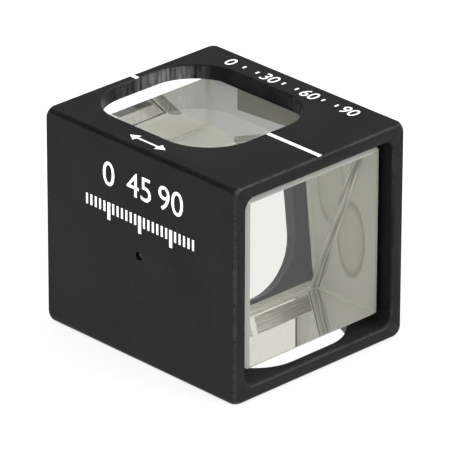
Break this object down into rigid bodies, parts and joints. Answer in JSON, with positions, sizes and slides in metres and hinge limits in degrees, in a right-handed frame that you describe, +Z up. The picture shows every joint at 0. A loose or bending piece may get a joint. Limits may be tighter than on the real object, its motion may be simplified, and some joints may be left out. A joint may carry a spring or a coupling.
{
  "type": "glan-taylor polarizer",
  "caption": "Square black cell that holds a pair of air-spaced calcite prisms, with an escape window in its top and in its bottom.",
  "frame": {"origin": "middle of the cell's bottom face, between its two end faces", "axes": "+X along the beam, out of the exit prism; +Y towards the side wall without the adhesive hole; +Z up, towards the window over the entrance prism"},
  "size_m": [0.0236, 0.0204, 0.0203],
  "materials": {
    "anodised_cell": "satin black anodised",
    "calcite": "polished, with fine-ground sides",
    "spacer": "bright foil",
    "adhesive": "cured adhesive, glossy",
    "adhesive_clear": "cured adhesive, even",
    "white_paint": "matt"
  },
  "bodies": {
    "root": {"housing": "anodised_cell", "exit_prism": "calcite", "entrance_prism": "calcite", "gap_spacer_top_left": "spacer", "gap_spacer_top_right": "spacer", "gap_spacer_bottom_left": "spacer", "gap_spacer_bottom_right": "spacer", "adhesive_plug": "adhesive", "adhesive_pad_exit": "adhesive_clear", "adhesive_pad_entrance": "adhesive_clear", "axis_mark_front": "white_paint", "axis_mark_rear": "white_paint"}
  },
  "joints": []
}
